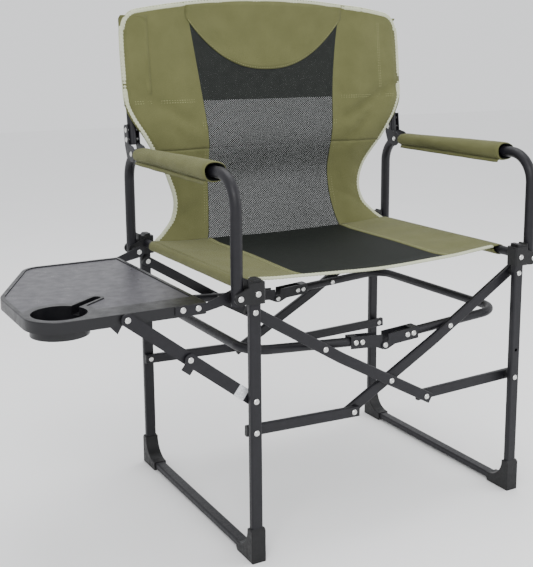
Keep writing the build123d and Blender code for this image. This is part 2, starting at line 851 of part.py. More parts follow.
def panel_face(gap):
    """The inset panel: behind the front strip, notched round the cup and the handle slot."""
    with BuildSketch() as face:
        add(table_face(panel_edge + gap))
        with Locations((table_outer_x, panel_front_y + gap)):
            Rectangle(900, 200, align=(Align.CENTER, Align.MAX), mode=Mode.SUBTRACT)
        with Locations((cup_x, cup_y)):
            Circle(cup_radius + cup_rim + gap, mode=Mode.SUBTRACT)
        add(notch_face(notch_wide + 10 + 2 * gap), mode=Mode.SUBTRACT)
    return face.sketch


skirt_low_z = table_top_z - table_skirt
with BuildPart() as table_tray:
    with BuildSketch(Plane.XY.offset(skirt_low_z)):
        add(table_face(0))
    extrude(amount=table_skirt)
    fillet(table_tray.faces().sort_by(Axis.Z)[-1].edges(), 1.5)
    with BuildSketch(Plane.XY.offset(skirt_low_z)):
        add(table_face(table_wall))
    extrude(amount=table_skirt - 6, mode=Mode.SUBTRACT)
    with BuildSketch(Plane.XY.offset(notch_floor_z - table_wall)):
        add(notch_face(notch_wide + 2 * table_wall))
    extrude(amount=table_top_z - 5 - notch_floor_z + table_wall)
    with BuildSketch(Plane.XY.offset(cup_floor_z)):
        with Locations((cup_x, cup_y)):
            Circle(cup_radius + table_wall)
    extrude(amount=table_top_z - 1 - cup_floor_z)
    with BuildSketch(Plane.XY.offset(cup_floor_z + table_wall)):
        with Locations((cup_x, cup_y)):
            Circle(cup_radius)
    extrude(amount=60, mode=Mode.SUBTRACT)
    with BuildSketch(Plane.XY.offset(notch_floor_z)):
        add(notch_face(notch_wide))
    extrude(amount=60, mode=Mode.SUBTRACT)
    with BuildSketch(Plane.XY.offset(table_top_z - 3.5)):
        add(panel_face(0))
    extrude(amount=10, mode=Mode.SUBTRACT)
    for x in bracket_bolts:
        drill(x, bracket_z, table_front_y - 1, table_front_y + 5, rivet_shank)
        drill(x, bracket_z, table_rear_y - 5, table_rear_y + 1, rivet_shank)
    drill(strut_head_x, strut_head_z, table_front_y - 1, table_front_y + 5, rivet_shank)
finish(table_tray.part, "table_tray")

with BuildPart() as table_panel:
    with BuildSketch(Plane.XY.offset(table_top_z - 3.5)):
        add(panel_face(0.4))
    extrude(amount=2.0)
finish(table_panel.part, "table_panel")


def table_bracket(face_y):
    """A flat bar on the skirt that reaches out to the arm pin."""
    with BuildPart() as bracket:
        with BuildSketch(Plane.XZ.offset(-face_y)):
            with Locations((-arm_x, arm_pin_z)):
                Circle(10)
            with Locations((table_inner_x - 2, bracket_z)):
                Circle(6.5)
            make_hull()
            with Locations((table_inner_x - 28, bracket_z)):
                Rectangle(54, 13)
        extrude(amount=-bracket_thick)
        drill(-arm_x, arm_pin_z, face_y - 5, face_y + 5, rivet_shank + pivot_clearance)
        for x in bracket_bolts:
            drill(x, bracket_z, face_y - 5, face_y + 5, rivet_shank)
    return bracket.part


with BuildPart() as table_bracket_front:
    add(table_bracket(table_front_y - bracket_thick))
finish(table_bracket_front.part, "table_bracket_front")
with BuildPart() as table_bracket_rear:
    add(table_bracket(table_rear_y))
finish(table_bracket_rear.part, "table_bracket_rear")
with BuildPart() as table_rivets:
    for x in bracket_bolts:
        rivet(x, bracket_z, table_front_y - bracket_thick, table_front_y + table_wall)
        rivet(x, bracket_z, table_rear_y + bracket_thick, table_rear_y - table_wall)
    rivet(strut_head_x, strut_head_z, -strut_high_y - head_gap, table_front_y + table_wall)
    add(spacers([(strut_head_x, strut_head_z, table_front_y, -strut_high_y + strut_thick + head_gap)], 6.0))
finish(table_rivets.part, "table_rivets")
with BuildPart() as table_hook:
    with BuildSketch(Plane.XZ.offset(-table_front_y - 0.3)):
        with BuildLine():
            Polyline((-497, skirt_low_z), (-479, skirt_low_z), (-486, skirt_low_z - 12), close=True)
        make_face()
    extrude(amount=-2)
finish(table_hook.part, "table_hook")

# the folding strut under the table's front edge
strut_rise = strut_head_z - strut_foot_z
strut_run = hypot(strut_head_x + leg_x, strut_rise)
strut_turn = degrees(atan2(strut_rise, strut_head_x + leg_x))
strut_low_long = strut_run * strut_split
strut_high_long = strut_run - strut_low_long
strut_mid_x = -leg_x + strut_low_long * cos(radians(strut_turn))
strut_mid_z = strut_foot_z + strut_low_long * sin(radians(strut_turn))


def strut_link(x, z, long, face_y):
    """A flat steel link with round ends, from the point x, z up towards the table."""
    with BuildPart() as bar:
        with BuildSketch(Plane.XZ.offset(face_y)):
            with Locations(Location((x, z), strut_turn)):
                with Locations((long / 2, 0)):
                    SlotCenterToCenter(long, strut_wide)
        extrude(amount=-strut_thick)
    return bar.part


with BuildPart() as strut_upper:
    add(strut_link(strut_mid_x, strut_mid_z, strut_high_long, strut_high_y))
    drill(strut_head_x, strut_head_z, -230, -190, rivet_shank + pivot_clearance)
finish(strut_upper.part, "strut_upper")
with BuildPart() as strut_lower:
    add(strut_link(-leg_x, strut_foot_z, strut_low_long, strut_low_y))
    with BuildSketch(Plane.XZ.offset(strut_low_y)):
        with Locations(Location((strut_mid_x, strut_mid_z), strut_turn)):
            with Locations((-4, strut_wide / 2 + 4)):
                Rectangle(17, 12)
    extrude(amount=-strut_thick)
    drill(-leg_x, strut_foot_z, -230, -190, rivet_shank + pivot_clearance)
    drill(strut_mid_x, strut_mid_z, -230, -strut_low_y + strut_thick - 0.4, rivet_shank)
finish(strut_lower.part, "strut_lower")
with BuildPart() as strut_rivet:
    rivet(strut_mid_x, strut_mid_z, -strut_low_y, -strut_low_y + strut_thick - 0.4)
    stud(strut_mid_x, strut_mid_z, -strut_low_y + strut_thick, -strut_high_y - head_gap, 5.5)
finish(strut_rivet.part, "strut_rivet")
with BuildPart() as reflective_tape:
    with BuildSketch(Plane.XZ.offset(strut_low_y + tape_thick)):
        with Locations(Location((-leg_x, strut_foot_z), strut_turn)):
            with Locations((tape_along, 0)):
                Rectangle(20, strut_wide + 2 * tape_thick)
    extrude(amount=-strut_thick - 2 * tape_thick)
    add(strut_link(-leg_x, strut_foot_z, strut_low_long, strut_low_y), mode=Mode.SUBTRACT)
finish(reflective_tape.part, "reflective_tape")

# ---------------------------------------------------------------- slings
rail_sleeve = rail_radius + 0.4
with BuildPart() as seat_sling:
    with BuildSketch(Plane.XZ.offset(-seat_front_y)):
        with BuildLine():
            top = ThreePointArc(
                (-leg_x, rail_z + rail_sleeve + sling_thick),
                (0, rail_z + rail_sleeve + sling_thick - seat_sag),
                (leg_x, rail_z + rail_sleeve + sling_thick),
            )
            low = ThreePointArc(
                (-leg_x, rail_z + rail_sleeve),
                (0, rail_z + rail_sleeve - seat_sag),
                (leg_x, rail_z + rail_sleeve),
            )
            Line(top @ 0, low @ 0)
            Line(top @ 1, low @ 1)
        make_face()
        with Locations((-leg_x, rail_z), (leg_x, rail_z)):
            Circle(rail_sleeve + sling_thick)
        with Locations((-leg_x, rail_z), (leg_x, rail_z)):
            Circle(rail_sleeve, mode=Mode.SUBTRACT)
    extrude(amount=-(seat_rear_y - seat_front_y))
finish(seat_sling.part, "seat_sling")

with BuildPart() as lower_back_sling:
    low_plane = Plane(
        origin=(0, seat_rear_y + 0.6, rail_z),
        x_dir=(1, 0, 0),
        z_dir=(0, -cos(radians(low_back_lean)), sin(radians(low_back_lean))),
    )
    with BuildSketch(low_plane):
        with BuildLine():
            foot_line = Line((-268, -2), (268, -2))
            right = Spline((268, -2), (226, 45), (219, 88), (234, 135), (263, 176.5))
            head_line = Line((263, 176.5), (-263, 176.5))
            left = Spline((-263, 176.5), (-234, 135), (-219, 88), (-226, 45), (-268, -2))
        make_face()
    extrude(amount=-sling_thick)
    for x in (-leg_x, leg_x):
        drill(x, rail_z, 150, 250, rail_sleeve)
finish(lower_back_sling.part, "lower_back_sling")

with BuildPart() as upper_back_sling:
    sleeve_out = upright_radius + 0.4 + sling_thick
    face_foot = upright_foot - behind * sleeve_out
    high_plane = Plane(origin=(0, face_foot.Y, face_foot.Z), x_dir=(1, 0, 0), z_dir=-behind)
    half_wide = arm_x + sleeve_out
    with BuildSketch(high_plane):
        with BuildLine():
            Polyline(
                (-half_wide, back_corner),
                (-half_wide, sleeve_low + 4),
                (-arm_x - 2, sleeve_low - 6),
                (-277, 62),
                (-263, 3),
                (263, 3),
                (277, 62),
                (arm_x + 2, sleeve_low - 6),
                (half_wide, sleeve_low + 4),
                (half_wide, back_corner),
            )
            ThreePointArc((half_wide, back_corner), (0, back_middle), (-half_wide, back_corner))
        make_face()
    extrude(amount=-sling_thick)
    for side in (-1, 1):
        foot = Vector(side * arm_x, upright_foot.Y, upright_foot.Z) + upright_way * sleeve_low
        with BuildSketch(Plane(origin=foot, z_dir=upright_way)):
            Circle(sleeve_out)
        extrude(amount=back_corner - sleeve_low)
    for side in (-1, 1):
        foot = Vector(side * arm_x, upright_foot.Y, upright_foot.Z) + upright_way * (sleeve_low - 5)
        with BuildSketch(Plane(origin=foot, z_dir=upright_way)):
            Circle(upright_radius + 0.4)
        extrude(amount=back_corner + 10 - sleeve_low, mode=Mode.SUBTRACT)
finish(upper_back_sling.part, "upper_back_sling")
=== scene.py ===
import json
from math import cos, pi, radians, sin, sqrt, tan

import bpy
from mathutils import Matrix, Vector, noise


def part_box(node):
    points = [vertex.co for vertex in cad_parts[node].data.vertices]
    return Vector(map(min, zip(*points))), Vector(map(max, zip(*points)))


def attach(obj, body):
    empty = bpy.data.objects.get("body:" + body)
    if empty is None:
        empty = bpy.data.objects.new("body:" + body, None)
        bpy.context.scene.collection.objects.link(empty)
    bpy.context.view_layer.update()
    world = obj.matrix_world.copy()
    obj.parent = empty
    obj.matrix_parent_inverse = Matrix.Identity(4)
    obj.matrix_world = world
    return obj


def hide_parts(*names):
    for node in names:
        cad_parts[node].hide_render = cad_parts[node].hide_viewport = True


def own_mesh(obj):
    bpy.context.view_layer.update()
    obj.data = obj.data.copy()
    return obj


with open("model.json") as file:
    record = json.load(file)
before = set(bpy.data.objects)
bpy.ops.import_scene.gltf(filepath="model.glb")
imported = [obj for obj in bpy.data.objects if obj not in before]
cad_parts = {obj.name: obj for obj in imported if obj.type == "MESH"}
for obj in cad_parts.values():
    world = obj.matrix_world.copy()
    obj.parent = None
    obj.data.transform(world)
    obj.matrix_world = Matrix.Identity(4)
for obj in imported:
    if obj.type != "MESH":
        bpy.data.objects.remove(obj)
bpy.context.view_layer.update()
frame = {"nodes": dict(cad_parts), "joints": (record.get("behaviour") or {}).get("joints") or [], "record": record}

# Metres, in the frame of the CAD model: +Z up, the sitter faces -Y, origin on the floor
# between the four feet. Fabric, seams and pads are made here; every hard piece is the CAD's.

# ------------------------------------------------------------------ sizes from the frame
rail_low, rail_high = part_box("seat_rail_left")
RAIL_X = -(rail_low.x + rail_high.x) / 2
RAIL_Z = (rail_low.z + rail_high.z) / 2
RAIL_R = (rail_high.x - rail_low.x) / 2
seat_low, seat_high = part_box("seat_sling")
SEAT_FRONT = seat_low.y
SEAT_REAR = seat_high.y + 0.0005
pad_low, pad_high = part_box("arm_pad_left")
ARM_X = -(pad_low.x + pad_high.x) / 2
ARM_Z = (pad_low.z + pad_high.z) / 2
arm_low, arm_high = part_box("arm_tube_left")
ARM_R = (arm_high.x - arm_low.x) / 2
joint_at = {j["name"]: Vector(j["pos_m"]) for j in frame["joints"] if "pos_m" in j}
HINGE = joint_at["back_fold"]

LEAN = tan(radians(6.5))  # of the uprights
UPRIGHT_BEHIND = 0.020  # upright's axis behind the hinge pin, at the pin's height
UPRIGHT_R = 0.008
CLOTH = 0.0012  # fabric thickness
SEAT_SAG = 0.013
PANEL = 0.150  # half width of the seat's dark panel
PATCH = 0.176  # half width of the head panel


# ------------------------------------------------------------------ small maths
def smooth(t):
    t = min(1.0, max(0.0, t))
    return t * t * (3 - 2 * t)


def curve_through(knots, at):
    """A smooth monotone curve through (place, value) knots, read at one place."""
    if at <= knots[0][0]:
        return knots[0][1]
    for i in range(len(knots) - 1):
        (a, fa), (b, fb) = knots[i], knots[i + 1]
        if at <= b:
            before = knots[max(i - 1, 0)]
            after = knots[min(i + 2, len(knots) - 1)]
            slope_a = (fb - before[1]) / (b - before[0])
            slope_b = (after[1] - fa) / (after[0] - a)
            t = (at - a) / (b - a)
            h = b - a
            return (
                (2 * t**3 - 3 * t**2 + 1) * fa
                + (t**3 - 2 * t**2 + t) * h * slope_a
                + (3 * t**2 - 2 * t**3) * fb
                + (t**3 - t**2) * h * slope_b
            )
    return knots[-1][1]


def spread(low, high, count):
    return [low + (high - low) * i / (count - 1) for i in range(count)]


# ------------------------------------------------------------------ materials
class Paint:
    """A Principled material with short helpers for its nodes."""

    def __init__(self, name, color, roughness, metallic=0.0):
        self.mat = bpy.data.materials.new(name)
        self.mat.use_nodes = True
        self.nodes = self.mat.node_tree.nodes
        self.links = self.mat.node_tree.links
        self.shader = self.nodes["Principled BSDF"]
        self.shader.inputs["Base Color"].default_value = (*color, 1)
        self.shader.inputs["Roughness"].default_value = roughness
        self.shader.inputs["Metallic"].default_value = metallic
        self.coords = self.nodes.new("ShaderNodeTexCoord")

    def place(self, source="Object", scale=(1, 1, 1)):
        node = self.nodes.new("ShaderNodeMapping")
        node.inputs["Scale"].default_value = scale
        self.links.new(self.coords.outputs[source], node.inputs["Vector"])
        return node.outputs["Vector"]

    def noise(self, scale, detail=3.0, source="Object", stretch=(1, 1, 1)):
        node = self.nodes.new("ShaderNodeTexNoise")
        node.inputs["Scale"].default_value = scale
        node.inputs["Detail"].default_value = detail
        self.links.new(self.place(source, stretch), node.inputs["Vector"])
        return node.outputs["Fac"]

    def bands(self, pitch, axis, source="UV"):
        """A sine wave from 0 to 1 with the given pitch in metres."""
        node = self.nodes.new("ShaderNodeTexWave")
        node.bands_direction = axis
        node.inputs["Scale"].default_value = 0.314159 / pitch
        self.links.new(self.place(source), node.inputs["Vector"])
        return node.outputs["Fac"]

    def maths(self, operation, a, b=0.0, clamp=False):
        node = self.nodes.new("ShaderNodeMath")
        node.operation = operation
        node.use_clamp = clamp
        for socket, value in zip(node.inputs, (a, b)):
            if isinstance(value, (int, float)):
                socket.default_value = value
            else:
                self.links.new(value, socket)
        return node.outputs[0]

    def range(self, value, low, high, out_low=0.0, out_high=1.0):
        node = self.nodes.new("ShaderNodeMapRange")
        self.links.new(value, node.inputs["Value"])
        node.inputs["From Min"].default_value = low
        node.inputs["From Max"].default_value = high
        node.inputs["To Min"].default_value = out_low
        node.inputs["To Max"].default_value = out_high
        return node.outputs["Result"]

    def mix(self, factor, a, b):
        node = self.nodes.new("ShaderNodeMix")
        node.data_type = "RGBA"
        self.links.new(factor, node.inputs["Factor"])
        for socket, value in ((node.inputs[6], a), (node.inputs[7], b)):
            if isinstance(value, tuple):
                socket.default_value = (*value, 1)
            else:
                self.links.new(value, socket)
        return node.outputs[2]

    def color(self, socket):
        self.links.new(socket, self.shader.inputs["Base Color"])

    def roughness(self, socket):
        self.links.new(socket, self.shader.inputs["Roughness"])

    def bump(self, height, distance, strength=1.0):
        node = self.nodes.new("ShaderNodeBump")
        node.inputs["Distance"].default_value = distance
        node.inputs["Strength"].default_value = strength
        self.links.new(height, node.inputs["Height"])
        self.links.new(node.outputs["Normal"], self.shader.inputs["Normal"])


def powder_coat():
    p = Paint("powder_coat", (0.008, 0.008, 0.010), 0.42)
    p.shader.inputs["Specular IOR Level"].default_value = 0.3
    mottle = p.noise(70, 4)
    p.color(p.mix(mottle, (0.005, 0.005, 0.0065), (0.011, 0.0105, 0.014)))
    p.roughness(p.range(p.noise(240, 3), 0.3, 0.7, 0.34, 0.52))
    p.bump(p.noise(1500, 2), 0.00025, 0.55)
    return p.mat


def moulded_plastic():
    p = Paint("moulded_plastic", (0.007, 0.007, 0.008), 0.5)
    p.shader.inputs["Specular IOR Level"].default_value = 0.3
    p.color(p.mix(p.noise(90, 4), (0.0045, 0.0045, 0.005), (0.009, 0.009, 0.010)))
    p.roughness(p.range(p.noise(160, 3), 0.3, 0.7, 0.38, 0.6))
    p.bump(p.noise(2200, 2), 0.0002, 0.5)
    return p.mat


def rivet_steel():
    p = Paint("rivet_steel", (0.66, 0.66, 0.64), 0.3, 1.0)
    p.color(p.mix(p.noise(500, 4), (0.5, 0.5, 0.49), (0.78, 0.78, 0.76)))
    p.roughness(p.range(p.noise(900, 2), 0.3, 0.7, 0.2, 0.42))
    p.bump(p.noise(1800, 2), 0.0001, 0.4)
    return p.mat


def table_skin(name, dark, light, roughness):
    p = Paint(name, light, roughness)
    p.shader.inputs["Specular IOR Level"].default_value = 0.35
    p.color(p.mix(p.noise(26, 5), dark, light))
    p.roughness(p.range(p.noise(60, 4), 0.3, 0.7, roughness - 0.06, roughness + 0.08))
    grain = p.maths("ADD", p.noise(2600, 2), p.maths("MULTIPLY", p.noise(700, 3), 0.5))
    p.bump(grain, 0.0002, 0.45)
    return p.mat


def reflective():
    p = Paint("reflective_tape", (0.72, 0.73, 0.74), 0.28, 0.35)
    cells = p.nodes.new("ShaderNodeTexVoronoi")
    cells.inputs["Scale"].default_value = 420
    p.links.new(p.place(), cells.inputs["Vector"])
    p.color(p.mix(p.range(cells.outputs["Distance"], 0, 0.6), (0.86, 0.87, 0.88), (0.5, 0.51, 0.53)))
    p.bump(cells.outputs["Distance"], 0.0002, 0.6)
    return p.mat


def woven(name, dark, light, pitch=0.0009, sheen=0.05):
    """A plain weave: two thread directions over faint blotches and fine thread variation."""
    p = Paint(name, light, 0.82)
    p.shader.inputs["Sheen Weight"].default_value = sheen
    p.shader.inputs["Sheen Roughness"].default_value = 0.5
    p.shader.inputs["Specular IOR Level"].default_value = 0.2
    warp = p.bands(pitch, "X")
    weft = p.bands(pitch, "Y")
    threads = p.maths("MULTIPLY", warp, weft)
    blotch = p.noise(22, 4, "UV")
    slub = p.noise(1.0, 2, "UV", (160, 2600, 1))
    tone = p.maths("ADD", p.maths("MULTIPLY", blotch, 0.45), p.maths("MULTIPLY", threads, 0.35))
    tone = p.maths("ADD", tone, p.maths("MULTIPLY", slub, 0.3))
    p.color(p.mix(p.range(tone, 0.2, 0.8), dark, light))
    p.roughness(p.range(threads, 0, 1, 0.9, 0.74))
    p.bump(p.maths("ADD", threads, p.maths("MULTIPLY", slub, 0.6)), 0.0003, 0.7)
    return p.mat


def open_mesh(name, thread, light, hole_pitch, open_share):
    """Knitted spacer mesh: rows of small holes set diagonally, through which one can see."""
    p = Paint(name, thread, 0.7)
    across = p.bands(hole_pitch, "X")
    along = p.bands(hole_pitch * 0.8, "Y")
    even = p.maths("MULTIPLY", across, along)
    odd = p.maths("MULTIPLY", p.maths("SUBTRACT", 1.0, across), p.maths("SUBTRACT", 1.0, along))
    cell = p.maths("ADD", even, odd)
    p.color(p.mix(p.noise(60, 4, "UV"), thread, light))
    p.shader.inputs["Specular IOR Level"].default_value = 0.2
    knit = p.maths("ADD", cell, p.maths("MULTIPLY", p.noise(300, 2, "UV"), 0.1))
    p.bump(knit, 0.0005, 0.45)
    if open_share > 0:
        solid = p.range(cell, 0.86 - open_share, 1.04 - open_share, 1.0, 0.0)
        p.links.new(solid, p.shader.inputs["Alpha"])
    return p.mat


COAT = powder_coat()
PLASTIC = moulded_plastic()
STEEL = rivet_steel()
TRAY = table_skin("tray_black", (0.004, 0.004, 0.005), (0.009, 0.009, 0.011), 0.34)
PANEL_GREY = table_skin("panel_grey", (0.040, 0.038, 0.046), (0.050, 0.048, 0.057), 0.33)
TAPE = reflective()
OLIVE = woven("olive_cloth", (0.088, 0.091, 0.033), (0.156, 0.158, 0.066))
THREAD = woven("olive_thread", (0.23, 0.24, 0.11), (0.38, 0.39, 0.20), 0.0006)
BINDING = woven("edge_binding", (0.38, 0.40, 0.27), (0.60, 0.62, 0.46), 0.0014)
MESH_OPEN = open_mesh("back_mesh", (0.010, 0.012, 0.011), (0.024, 0.027, 0.024), 0.0046, 0.20)
SEAT_DARK = open_mesh("seat_mesh", (0.0035, 0.0050, 0.0038), (0.0080, 0.0105, 0.0080), 0.0034, 0.0)
LINING = woven("dark_lining", (0.006, 0.008, 0.007), (0.012, 0.015, 0.013))

NODE_PAINT = {
    "frame_black": COAT,
    "plastic_black": PLASTIC,
    "rivet_steel": STEEL,
    "table_skirt": TRAY,
    "table_top": PANEL_GREY,
    "reflective": TAPE,
}
for part in frame["record"]["subparts"]:
    paint = NODE_PAINT.get(part["material_slot"])
    if paint:
        for material_slot in frame["nodes"][part["node"]].material_slots:
            material_slot.material = paint


# ------------------------------------------------------------------ mesh helpers
def new_mesh(name, points, faces, paints, face_paint=None, uvs=None, shade=True):
    mesh = bpy.data.meshes.new(name)
    mesh.from_pydata([tuple(p) for p in points], [], faces)
    for paint in paints:
        mesh.materials.append(paint)
    if face_paint:
        mesh.polygons.foreach_set("material_index", face_paint)
    if shade:
        mesh.polygons.foreach_set("use_smooth", [True] * len(faces))
    if uvs:
        layer = mesh.uv_layers.new(name="flat")
        for loop in mesh.loops:
            layer.data[loop.index].uv = uvs[loop.vertex_index]
    mesh.update()
    obj = bpy.data.objects.new(name, mesh)
    bpy.context.scene.collection.objects.link(obj)
    return obj


def grid(name, rows, paints, choose=None, thick=CLOTH, side=1):
    """A cloth sheet from rows of points, with thickness behind it and UVs in metres of cloth."""
    high, wide = len(rows), len(rows[0])
    points = [p for row in rows for p in row]
    faces, face_paint = [], []
    for j in range(high - 1):
        for i in range(wide - 1):
            a = j * wide + i
            faces.append((a, a + 1, a + wide + 1, a + wide))
            face_paint.append(choose(i, j) if choose else 0)
    middle = wide // 2
    along = [0.0]
    for j in range(1, high):
        along.append(along[-1] + (rows[j][middle] - rows[j - 1][middle]).length)
    uvs = []
    for j, row in enumerate(rows):
        run = [0.0]
        for i in range(1, wide):
            run.append(run[-1] + (row[i] - row[i - 1]).length)
        uvs += [(r - run[middle], along[j]) for r in run]
    obj = new_mesh(name, points, faces, paints, face_paint, uvs)
    if thick:
        solid = obj.modifiers.new("thickness", "SOLIDIFY")
        solid.thickness = thick
        solid.offset = -side
        apply_modifiers(obj)
    return obj


def apply_modifiers(obj):
    graph = bpy.context.evaluated_depsgraph_get()
    mesh = bpy.data.meshes.new_from_object(obj.evaluated_get(graph))
    obj.modifiers.clear()
    obj.data = mesh


def sweep(name, path, normals, half_wide, half_deep, paint, rib=0.0, round_steps=12):
    """A flattened round strip along a path; each normal faces out of the cloth it lies on."""
    points, faces, uvs = [], [], []
    run = 0.0
    count = len(path)
    for k in range(count):
        tangent = (path[min(k + 1, count - 1)] - path[max(k - 1, 0)]).normalized()
        normal = (normals[k] - tangent * normals[k].dot(tangent)).normalized()
        across = tangent.cross(normal)
        if k:
            run += (path[k] - path[k - 1]).length
        deep = half_deep * (1 + rib * sin(2 * pi * run / 0.0065))
        for i in range(round_steps):
            turn = 2 * pi * i / round_steps
            points.append(path[k] + across * (half_wide * cos(turn)) + normal * (deep * sin(turn)))
            uvs.append((half_wide * turn, run))
    for k in range(count - 1):
        for i in range(round_steps):
            a, b = k * round_steps, (k + 1) * round_steps
            n = (i + 1) % round_steps
            faces.append((a + i, a + n, b + n, b + i))
    faces.append(tuple(reversed(range(round_steps))))
    faces.append(tuple((count - 1) * round_steps + i for i in range(round_steps)))
    return new_mesh(name, points, faces, [paint], None, uvs)


def resample(path, step):
    """The same path with points an equal step apart."""
    out, carry = [path[0].copy()], 0.0
    for a, b in zip(path, path[1:]):
        length = (b - a).length
        while length > 0 and carry + length >= step:
            a = a + (b - a) * ((step - carry) / length)
            length = (b - a).length
            carry = 0.0
            out.append(a.copy())
        carry += length
    return out


def stitches(name, seams, paint, long=0.0034, gap=0.0020, radius=0.0006):
    """Rows of thread stitches: each seam is a path, the way out of the cloth, and its lift."""
    points, faces, uvs = [], [], []
    for path, normal_at, lift in seams:
        places = resample(path, (long + gap) / 2)
        for k in range(0, len(places) - 1, 2):
            a, b = places[k], places[min(k + 1, len(places) - 1)]
            way = b - a
            if way.length < 1e-6:
                continue
            way.normalize()
            a, b = a - way * long * 0.15, b + way * long * 0.15
            out = normal_at(a)
            across = way.cross(out).normalized()
            base = len(points)
            for t, size, rise in ((0, 0.35, -0.6), (0.25, 1, 0.7), (0.75, 1, 0.7), (1, 0.35, -0.6)):
                centre = a + (b - a) * t + out * (lift + radius * rise)
                for i in range(6):
                    turn = pi * i / 3
                    ring = across * cos(turn) + out * sin(turn)
                    points.append(centre + ring * radius * size)
                    uvs.append((t * long, turn * radius))
            for r in range(3):
                for i in range(6):
                    n = (i + 1) % 6
                    low, up = base + r * 6, base + r * 6 + 6
                    faces.append((low + i, low + n, up + n, up + i))
            faces.append(tuple(base + i for i in reversed(range(6))))
            faces.append(tuple(base + 18 + i for i in range(6)))
    return new_mesh(name, points, faces, [paint], None, uvs)


def settle(obj, body, *nodes):
    """Puts a soft piece on its body, flattening with the frame, in place of its CAD solids."""
    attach(obj, body)
    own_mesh(obj)
    if nodes:
        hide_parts(*nodes)


# ------------------------------------------------------------------ the seat
def seat_top(x, y):
    """Height of the seat's cloth between the rails, sagging more at the front."""
    edge = RAIL_Z + RAIL_R + 0.0018
    across = 1 - (x / RAIL_X) ** 2
    front = smooth((0.02 - y) / 0.2)
    sag = SEAT_SAG * (0.62 + 0.45 * front) * across
    dip = 0.004 * across * smooth((SEAT_REAR - y) / 0.05) * smooth((y - SEAT_FRONT) / 0.05)
    pull = 0.0016 * sin(y * 70 + x * 9) * smooth((abs(x) - 0.16) / 0.05) * smooth((0.262 - abs(x)) / 0.03)
    return edge - sag - dip + pull * 0.6 + 0.0012 * noise.noise(Vector((x * 9, y * 7, 0.3)))


def seat_section(y):
    """One line of cloth from the top of the left rail to the top of the right rail."""
    inner = [-RAIL_X, -0.262, -0.252, -0.236, -0.216, -0.196, -0.176, -0.160, -PANEL]
    middle = spread(-PANEL, PANEL, 19)[1:-1]
    xs = inner + middle + [-x for x in reversed(inner)]
    return [Vector((x, y, seat_top(x, y))) for x in xs]


def hem_section(y):
    """The hem round the left rail: from under the seat, below the rail, up to its top."""
    wrap = RAIL_R + 0.0014
    line = [Vector((-0.252, y, seat_top(-0.252, y) - 0.0050))]
    line.append(Vector((-0.256, y, RAIL_Z - wrap * 0.35)))
    line.append(Vector((-0.262, y, RAIL_Z - wrap * 0.85)))
    for k in range(11):
        turn = radians(-90 - 18 * k)
        swell = 1 + 0.05 * sin(y * 60 + k)
        line.append(Vector((-RAIL_X + cos(turn) * wrap * swell, y, RAIL_Z + sin(turn) * wrap)))
    return line


SEAT_YS = spread(SEAT_FRONT, SEAT_REAR, 46)
seat_rows = [seat_section(y) for y in SEAT_YS]
DARK_FROM = next(i for i, p in enumerate(seat_rows[0]) if abs(p.x + PANEL) < 1e-6)
DARK_TO = len(seat_rows[0]) - 1 - DARK_FROM
seat = grid(
    "seat_cloth",
    seat_rows,
    [OLIVE, SEAT_DARK],
    lambda i, j: 1 if DARK_FROM <= i < DARK_TO else 0,
)
settle(seat, "left_side", "seat_sling")
hem_rows = [hem_section(y) for y in SEAT_YS]
for side, name in ((-1, "left"), (1, "right")):
    rows = [[Vector((-side * p.x, p.y, p.z)) for p in row][:: -side] for row in hem_rows]
    hem = grid("seat_hem_" + name, rows, [OLIVE])
    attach(hem, name + "_side")

up = Vector((0, 0, 1))
front_line = [p for p in seat_rows[0] if abs(p.x) < 0.253]
front_line = resample([Vector((p.x, p.y + 0.0025, p.z - CLOTH / 2)) for p in front_line], 0.002)
edge = sweep("seat_front_binding", front_line, [up] * len(front_line), 0.0054, 0.0024, BINDING, 0.18)
settle(edge, "left_side")


def on_seat(points):
    return [Vector((x, y, seat_top(x, y))) for x, y in points]


def plain_up(_):
    return up


seams = []
for side in (-1, 1):
    for shift in (0.0035, 0.0085):
        ys = spread(SEAT_FRONT + 0.008, SEAT_REAR - 0.006, 90)
        seams.append((on_seat([(side * (PANEL + shift), y) for y in ys]), plain_up, 0.0003))
seat_thread = stitches("seat_stitches", seams, THREAD)
settle(seat_thread, "left_side")
for side, name in ((-1, "left"), (1, "right")):
    line = on_seat([(side * (PANEL + 0.001), y) for y in spread(SEAT_FRONT, SEAT_REAR, 60)])
    welt = sweep("seat_seam_" + name, line, [up] * len(line), 0.0022, 0.0011, OLIVE)
    settle(welt, "left_side")

# ------------------------------------------------------------------ the back
BACK_FOOT = 0.4455
BACK_CORNER_Z = 0.887
ARCH = 0.031
HALF_WIDTHS = [
    (0.4455, 0.2755), (0.457, 0.266), (0.470, 0.249), (0.497, 0.224), (0.534, 0.2145),
    (0.580, 0.2270), (0.610, 0.2440), (0.634, 0.2610), (0.667, 0.2820), (0.692, 0.2985),
    (0.722, 0.3110), (0.760, 0.3130), (0.840, 0.3125), (0.887, 0.3080),
]
MESH_WIDTHS = [
    (0.4455, 0.158), (0.470, 0.150), (0.530, 0.142), (0.620, 0.141), (0.720, 0.149),
    (0.790, 0.158), (0.887, 0.174),
]
BULGE = [(0.4455, 0.0), (0.50, 0.005), (0.63, 0.006), (0.75, 0.015), (0.84, 0.014), (0.92, 0.004)]
CORNER = 0.026  # radius of the top corners
BOW = 0.024  # rearward bow of the whole width at the waist
BOW_TOP = 0.695
FOLDS = [(0.70, 0.55, 0.0030), (0.665, 0.9, 0.0022), (0.50, -0.5, 0.0018)]  # height, tilt, depth


def half_width(z):
    return curve_through(HALF_WIDTHS, z)


def mesh_half(z):
    return curve_through(MESH_WIDTHS, z)


def upright_y(z):
    return HINGE.y + UPRIGHT_BEHIND + (z - HINGE.z) * LEAN


